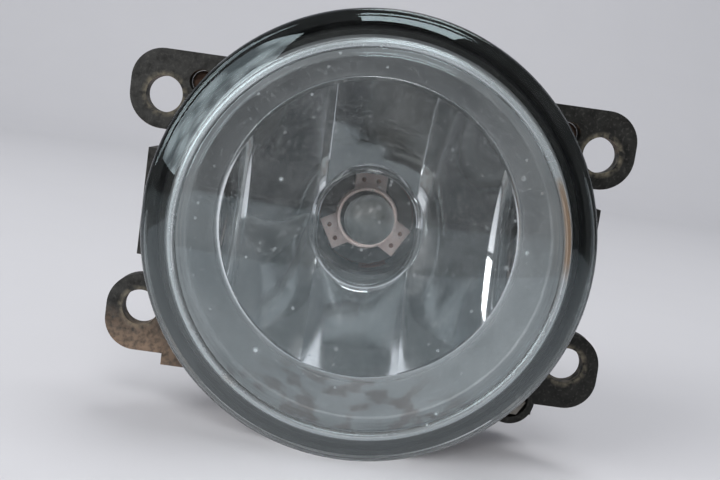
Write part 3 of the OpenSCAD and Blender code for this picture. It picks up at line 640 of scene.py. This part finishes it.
# Reflector: a bowl in five upright strips

def opening_point(angle):
    """A point on the edge of the bulb opening, a circle drawn out downwards."""
    x, y = OPENING_R * math.cos(angle), OPENING_R * math.sin(angle)
    return (x, y) if y >= 0 else (x, y - OPENING_DROP)


def mirror_height(x, y):
    """Height of the mirror's bowl before its strips are set back."""
    return VERTEX_Z + (x * x + y * y) / (4 * FOCAL)


def strip_at(x):
    """Number of the upright strip at a distance across the mirror, counted from the left."""
    return sum(x > edge for edge in STRIP_EDGES)


def strip_shift(x, strip):
    """How far a strip stands off the plain bowl: set back, and hollowed a little across its width."""
    bounds = (-MOUTH_R, *STRIP_EDGES, MOUTH_R)
    middle = (bounds[strip] + bounds[strip + 1]) / 2
    half = (bounds[strip + 1] - bounds[strip]) / 2
    set_back = STRIP_STEP if strip in SET_BACK_STRIPS else 0.0
    return STRIP_SAG * (((x - middle) / half) ** 2 - 1) - set_back


def on_strip_edge(edge):
    """Whether both ends of an edge lie on the same boundary between two strips."""
    first, second = (v.co.x for v in edge.verts)
    return any(abs(first - x) < SAME_PLACE and abs(second - x) < SAME_PLACE for x in STRIP_EDGES)


def flange_path(x, y):
    """Points from the mirror's mouth out over the flat flange."""
    z = mirror_height(x, y)
    stretch = FLANGE_R / math.hypot(x, y)
    return [(x, y, z), (x * stretch, y * stretch, z)]


def tube_path(x, y):
    """Points from the bulb opening over its rolled lip and back along the tube."""
    z = mirror_height(x, y)
    inward = -Vector((x, y if y >= 0 else y + OPENING_DROP)).normalized()
    path = [(x, y, z)]
    for inset, rise in LIP_ROLL:
        path.append((x + inset * inward.x, y + inset * inward.y, z + rise))
    return [*path, (*path[-1][:2], TUBE_END_Z)]


def edge_path(place):
    """Points that lead on from the mirror's edge: up to the plain bowl, then out or back."""
    beyond = flange_path if place.xy.length > (OPENING_R + MOUTH_R) / 2 else tube_path
    return [place.copy(), *beyond(place.x, place.y)]


def add_face(shape, corners):
    """A face with corners of its own."""
    shape.faces.new([shape.verts.new(corner) for corner in corners])


def add_bowl(shape, turns=288, steps=56):
    """The plain bowl, in rings from the bulb opening out to the mouth."""
    rings = []
    for j in range(steps + 1):
        ring = []
        for i in range(turns):
            a = math.tau * i / turns
            near = Vector(opening_point(a))
            far = Vector((MOUTH_R * math.cos(a), MOUTH_R * math.sin(a)))
            x, y = near.lerp(far, j / steps)
            ring.append(shape.verts.new((x, y, mirror_height(x, y))))
        rings.append(ring)
    for lower, upper in zip(rings, rings[1:]):
        for i in range(turns):
            m = (i + 1) % turns
            shape.faces.new((lower[i], lower[m], upper[m], upper[i]))


def split_strips(shape):
    """Cuts the bowl apart between its strips and returns both ends of each cut edge."""
    for x in STRIP_EDGES:
        parts = shape.verts[:] + shape.edges[:] + shape.faces[:]
        bmesh.ops.bisect_plane(shape, geom=parts, dist=CUT_SNAP, plane_co=(x, 0, 0), plane_no=(1, 0, 0))
    seams = [edge for edge in shape.edges if on_strip_edge(edge)]
    ends = [[v.co.copy() for v in edge.verts] for edge in seams]
    bmesh.ops.split_edges(shape, edges=seams)
    return ends


def shift_strips(shape):
    """Moves each strip to where it stands off the plain bowl."""
    shifts = {}
    for face in shape.faces:
        strip = strip_at(face.calc_center_median().x)
        for vert in face.verts:
            shifts[vert] = strip_shift(vert.co.x, strip)
    for vert, shift in shifts.items():
        vert.co.z += shift


def add_rims(shape):
    """The flange round the mouth, and the lip and tube at the bulb opening."""
    for edge in [e for e in shape.edges if e.is_boundary and not on_strip_edge(e)]:
        first, second = (edge_path(v.co) for v in edge.verts)
        for i in range(len(first) - 1):
            add_face(shape, (first[i], second[i], second[i + 1], first[i + 1]))


def add_steps(shape, seams):
    """The narrow walls between neighbouring strips."""
    for start, end in seams:
        strip = strip_at(start.x + BESIDE)
        here = Vector((0, 0, strip_shift(start.x, strip)))
        beside = Vector((0, 0, strip_shift(start.x, strip - 1)))
        add_face(shape, (start + here, end + here, end + beside, start + beside))


def add_reflector():
    """Reflector: five upright strips, two of them set back, with a flange and a bulb tube."""
    shape = bmesh.new()
    add_bowl(shape)
    seams = split_strips(shape)
    shift_strips(shape)
    add_rims(shape)
    add_steps(shape, seams)
    shape.verts.index_update()
    points = [v.co.copy() for v in shape.verts]
    faces = [[v.index for v in face.verts] for face in shape.faces]
    shape.free()
    mirror = add_piece("strip_mirror", points, faces, LAMP, "lamp_unit", "mirror_coating", ["reflector"],
                       sharp=25)
    # The wall grows to the back, so that the mirrored face stays where it is
    wall = mirror.modifiers.new("wall", "SOLIDIFY")
    wall.thickness = REFLECTOR_WALL * MM
    wall.offset = 1


# Bulb pieces, the adjuster's thread and the dirt in the locating holes

def crown(radius, start, end):
    """Half of the capsule's squashed crown, between two angles in degrees."""
    foot = TIP_Z - CROWN_SQUASH * CAPSULE_R
    return [(x, foot + CROWN_SQUASH * z) for x, z in arc((0, 0), radius, start, end, 16)]


def add_capsule():
    """Glass capsule: hollow, rounded at both ends, with a painted tip."""
    inner = CAPSULE_R - GLASS_WALL
    round_z = CAPSULE_START_Z + CAPSULE_ROUND
    outline = [(0, CAPSULE_START_Z)]
    outline += arc((CAPSULE_R - CAPSULE_ROUND, round_z), CAPSULE_ROUND, -90, 0, 8)
    outline += [(CAPSULE_R, PAINT_START_Z)]
    outline += crown(CAPSULE_R, 0, 90)
    outline += crown(inner, 90, 0)
    outline += [(inner, round_z), (0, round_z)]

    def painted(corner):
        return corner.z > PAINT_START_Z - BESIDE

    capsule = add_piece("glass_capsule", *lathe(outline, 96), BULB, "bulb", "bulb_glass", ["bulb_capsule"])
    paint_faces(capsule, BULB, tip_paint(), painted)
    capsule.visible_shadow = False


def add_filament():
    """Filament: a wound coil along the bulb's axis, between the leads."""
    turns, coil_r, wire_r = 11, 0.6, 0.11
    path = helix((0, 0), coil_r, FILAMENT_Z - FILAMENT_L / 2, FILAMENT_L / turns, turns, 20)
    add_piece("wound_filament", *tube(path, wire_r, 8), BULB, "bulb", "tungsten", ["bulb_filament"])


def add_thread():
    """Thread on the adjuster's tail, wound at its pitch."""
    ridge_r = 0.32
    turns = (THREAD_TO_Z - THREAD_FROM_Z) / THREAD_PITCH
    path = helix(ADJUSTER_AT, SCREW_R, THREAD_FROM_Z, THREAD_PITCH, turns, 24)
    add_piece("adjuster_thread", *tube(path, ridge_r, 6), LAMP, "adjuster", "plated_steel")


def add_weld_spots():
    """Two weld spots on each of the collar's three tabs."""
    rise, flat_r, sunk = 0.16, 0.45, 0.2
    outline = [(0, rise)] + arc((flat_r, 0), rise, 90, 0, 4) + [(flat_r + rise, -sunk), (0, -sunk)]
    places = []
    for angle in TAB_ANGLES:
        turn = Matrix.Rotation(math.radians(angle), 3, "Z")
        places += [turn @ Vector((WELD_OUT, side * WELD_ASIDE, SEAT_Z)) for side in (-1, 1)]
    points, faces = repeated(*lathe(outline, 20), places)
    add_piece("weld_spots", points, faces, BULB, "bulb", "collar_steel", look=weld_mark())


def add_hole_dirt():
    """Dirt packed into the small locating holes of the upper ears."""
    front, back, flat_r, round_r, gap = -2.5, -3.8, 1.6, 0.6, 0.05
    outline = [(0, front)] + arc((flat_r, front - round_r), round_r, 90, 20, 4)
    outline += [(LOCATING_HOLE_R - gap, back), (0, back)]
    places = [(side * LOCATING_AT[0], LOCATING_AT[1], 0) for side in (-1, 1)]
    points, faces = repeated(*lathe(outline, 32), places)
    add_piece("hole_dirt", points, faces, LAMP, "frame", "frame_plastic", look=packed_dirt())


# Solids that stay, with softened edges and their own looks; widths in millimetres, angles in degrees

EDGE_WIDTHS = {
    "mounting_frame": 0.45, "housing": 0.35, "bulb_base": 0.4, "vent_cap": 0.5, "adjuster_screw": 0.25,
    "bulb_collar": 0.15, "pivot_bushes": 0.2, "pivot_pins": 0.3, "adjuster_nut": 0.25,
    "adjuster_clip": 0.1, "adjuster_washer": 0.1, "bulb_terminals": 0.15, "lens_seal": 0.2,
    "vent_membrane": 0.05, "bulb_leads": 0.05, "bulb_o_ring": 0.05,
}
WELD_GAP = 0.001
FLAT_ANGLE = 0.5
SHARP_ANGLE = 38


def soften(node, width):
    """Rounds a solid's edges a little and shades its curved faces smooth."""
    weld = node.modifiers.new("weld", "WELD")
    weld.merge_threshold = WELD_GAP * MM
    flat = node.modifiers.new("flat", "DECIMATE")
    flat.decimate_type = "DISSOLVE"
    flat.angle_limit = math.radians(FLAT_ANGLE)
    bevel = node.modifiers.new("edges", "BEVEL")
    bevel.width = width * MM
    bevel.segments = 2
    bevel.limit_method = "ANGLE"
    bevel.angle_limit = math.radians(SHARP_ANGLE)
    bevel.harden_normals = False
    smooth = node.modifiers.new("smooth", "WEIGHTED_NORMAL")
    smooth.keep_sharp = True


def dress_solids():
    """Gives each solid that still shows its softened edges and the look of its slot."""
    slots = {part["node"]: part["material_slot"] for part in frame["record"]["subparts"]}
    for name, width in EDGE_WIDTHS.items():
        node = frame["nodes"][name]
        node.data.materials.clear()
        node.data.materials.append(LOOKS[slots[name]])
        node.data.shade_smooth()
        soften(node, width)


add_lens()
add_trim_ring()
add_reflector()
add_capsule()
add_filament()
add_thread()
add_weld_spots()
add_hole_dirt()
dress_solids()


# Studio, in metres: floor and sweep, cards that the glass reflects, lamps and camera

FLOOR_Z = cad_box[0].z
CARD_LIFT = 0.001
ROOM_LOW = FLOOR_Z + CARD_LIFT
ROOM_TOP = 2.2
ROOM_FRONT = -2.5
ROOM_BACK = 0.6
ROOM_HALF = 2.4
TABLE_EDGE = -0.215
TABLE_SLANT = -0.25
TABLE_EDGE_WITHIN = -1.2
SWEEP_COLOUR = (0.61, 0.61, 0.635)
CARD_COLOUR = (0.05, 0.055, 0.055)
ROOM_COLOUR = (0.4, 0.41, 0.43)


def plain_look(name, colour, roughness=0.7):
    """A painted surface with a faint mottle."""
    look = Look(name, colour, roughness)
    mottle = look.noise(60, 3)
    paler = tuple(min(1.0, c * 1.03) for c in colour)
    look.set("Base Color", look.blend(mottle, rgb(*colour), rgb(*paler)))
    return look.material


def add_sweep():
    """Pale floor that curves up into a backdrop far behind the lamp."""
    half, front, foot, bend, rise = 9.0, -9.0, 0.9, 0.6, 1.6
    # The floor keeps an edge of its own where the bend starts, so that it shades flat
    profile = [(front, 0), (foot, 0)]
    profile += arc((foot, bend), bend, -90, 0, 16)
    profile += [(foot + bend, bend + rise)]
    points, faces = [], []
    for y, z in profile:
        points += [(-half, y, FLOOR_Z + z), (half, y, FLOOR_Z + z)]
    for i in range(len(profile) - 1):
        faces.append((2 * i, 2 * i + 1, 2 * i + 3, 2 * i + 2))
    sweep = new_object("sweep", points, faces, plain_look("pale_sweep", SWEEP_COLOUR))
    sweep.data.shade_smooth()


def add_card(name, corners, material):
    """A flat card that only reflections and views through glass show."""
    card = new_object(name, corners, [tuple(range(len(corners)))], material)
    card.visible_camera = False
    card.visible_diffuse = False
    card.visible_shadow = False
    return card


def beyond_table(edge, slant=0.0):
    """Corners of the floor in front of the table's edge, which may run at a slant."""
    near = [(x, edge + slant * x, ROOM_LOW) for x in (ROOM_HALF, -ROOM_HALF)]
    return [(-ROOM_HALF, ROOM_FRONT, ROOM_LOW), (ROOM_HALF, ROOM_FRONT, ROOM_LOW)] + near


def upright(start, end):
    """Corners of a wall between two points on the floor."""
    return [(*start, ROOM_LOW), (*end, ROOM_LOW), (*end, ROOM_TOP), (*start, ROOM_TOP)]


def add_dark_room():
    """Dark cards round the front: the room beyond the table's edge, as the glass shows it."""
    dark = plain_look("dark_card", CARD_COLOUR)
    front_left, front_right = (-ROOM_HALF, ROOM_FRONT), (ROOM_HALF, ROOM_FRONT)
    back_left, back_right = (-ROOM_HALF, ROOM_BACK), (ROOM_HALF, ROOM_BACK)
    outside = add_card("dark_floor", beyond_table(TABLE_EDGE, TABLE_SLANT), dark)
    outside.visible_transmission = False
    within = add_card("dark_floor_within", beyond_table(TABLE_EDGE_WITHIN), dark)
    within.visible_glossy = False
    add_card("dark_front", upright(front_left, front_right), dark)
    add_card("dark_left", upright(front_left, back_left), dark)
    add_card("dark_right", upright(front_right, back_right), dark)
    ceiling = [(*corner, ROOM_TOP) for corner in (front_left, front_right, back_right, back_left)]
    add_card("dark_ceiling", ceiling, dark)


def crumpled_look():
    """A crumpled bright sheet, as the rim shows it."""
    look = Look("crumpled_sheet", (0, 0, 0), 1.0, Emission_Strength=1.0)
    folds = look.maths("ADD", look.noise(240, 1), look.levels(look.cells(195), 0.0, 0.8, 0.4, 0.0))
    bright = look.levels(folds, 0.45, 0.8)
    look.set("Emission Color", look.blend(bright, rgb(1.6, 1.6, 1.65), rgb(5.5, 5.4, 5.4)))
    return look.material


def add_crumpled_sheet(lamp, size, ahead=0.01):
    """A sheet over a softbox, which only reflections show."""
    x, y = size[0] / 2, size[1] / 2
    outline = ((-x, -y), (x, -y), (x, y), (-x, y))
    corners = [lamp.matrix_basis @ Vector((*corner, -ahead)) for corner in outline]
    sheet = add_card("crumpled_sheet", corners, crumpled_look())
    sheet.visible_transmission = False


def add_softbox(name, place, size, power):
    """A soft square lamp that faces the part's origin."""
    light = bpy.data.lights.new(name, "AREA")
    light.shape = "RECTANGLE"
    light.size, light.size_y = size
    light.energy = power
    lamp = bpy.data.objects.new(name, light)
    lamp.location = place
    lamp.rotation_mode = "QUATERNION"
    lamp.rotation_quaternion = (-Vector(place)).to_track_quat("-Z", "Y")
    bpy.context.scene.collection.objects.link(lamp)
    return lamp


def add_lights():
    """Soft key from the upper left, a front lamp above the camera, a top lamp and a dim room."""
    key_size = (0.9, 1.12)
    key = add_softbox("key", (-1.05, -0.78, 0.63), key_size, 15)
    add_crumpled_sheet(key, key_size)
    add_softbox("front", (0.15, -1.42, 1.28), (0.75, 0.52), 9)
    add_softbox("top", (0.22, 0.3, 1.5), (1.0, 0.6), 8)
    world = bpy.data.worlds.new("room")
    world.use_nodes = True
    backdrop = world.node_tree.nodes["Background"]
    backdrop.inputs["Color"].default_value = rgb(*ROOM_COLOUR)
    backdrop.inputs["Strength"].default_value = 1.0
    bpy.context.scene.world = world


def add_camera():
    """Camera at the photograph's angle: a little above the lamp, close to it and rolled."""
    # Shifts and distance in millimetres, as the camera sees them, and angles in degrees
    aside, above, distance = -1.84, -1.78, 225.0
    raised, swung, rolled = 7.23, 1.09, -8.06
    turn = Matrix.Rotation(math.radians(rolled), 3, "Z")
    turn = turn @ Matrix.Rotation(math.radians(raised), 3, "X")
    turn = turn @ Matrix.Rotation(math.radians(swung), 3, "Y")
    back = turn.transposed()
    place = LAMP @ (back @ Vector((aside, above, distance)))
    axes = Matrix(((1, 0, 0), (0, 0, -1), (0, 1, 0))) @ back
    lens = bpy.data.cameras.new("camera")
    lens.lens = 50.45
    lens.sensor_width = 36.0
    lens.clip_start = 0.01
    camera = bpy.data.objects.new("camera", lens)
    camera.matrix_world = Matrix.Translation(place) @ axes.to_4x4()
    bpy.context.scene.collection.objects.link(camera)
    bpy.context.scene.camera = camera


add_sweep()
add_dark_room()
add_lights()
add_camera()
bpy.context.scene.view_settings.view_transform = "Standard"
